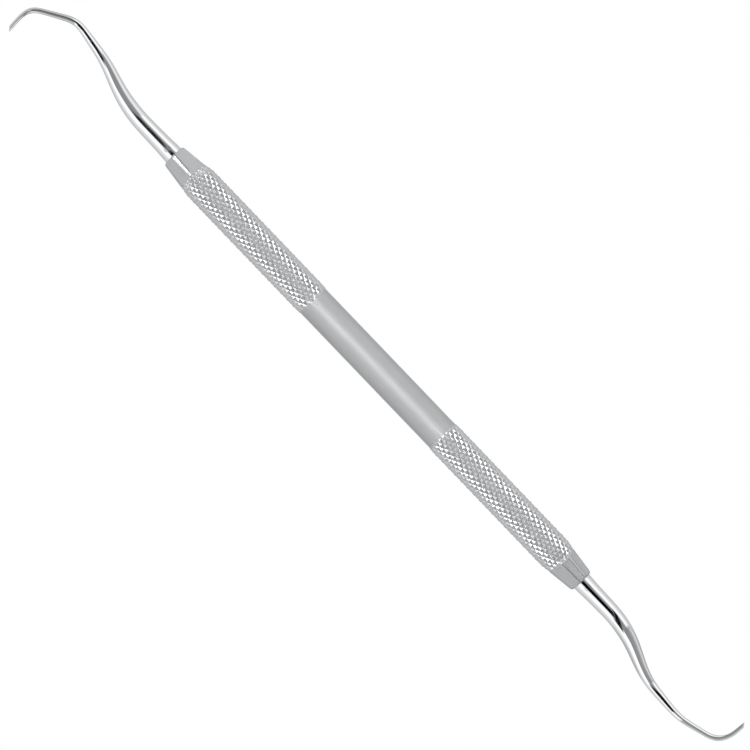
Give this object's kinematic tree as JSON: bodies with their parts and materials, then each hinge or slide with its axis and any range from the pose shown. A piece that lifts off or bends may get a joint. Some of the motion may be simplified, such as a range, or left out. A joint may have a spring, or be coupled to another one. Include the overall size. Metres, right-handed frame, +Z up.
{
  "type": "hand scaler",
  "caption": "Double-ended hand scaler: hollow handle with knurled zones and a smooth grip, crimped at each end onto a bent shank that ends in a curette blade.",
  "frame": {"origin": "centre of the smooth grip, on the handle's axis", "axes": "+X along the handle towards the tip whose blade turns to +Y; +Z up, square to the plane that the shanks mostly bend in, as the scaler lies on a table on its handle"},
  "size_m": [0.1752, 0.0101, 0.0064],
  "materials": {
    "satin_stainless": "satin, fine blasted",
    "polished_stainless": "mirror polished",
    "turned_stainless": "as turned"
  },
  "bodies": {
    "root": {"handle_tube": "satin_stainless", "left_tip": "polished_stainless", "right_tip": "polished_stainless", "left_tang_bush": "turned_stainless", "right_tang_bush": "turned_stainless"}
  },
  "joints": []
}
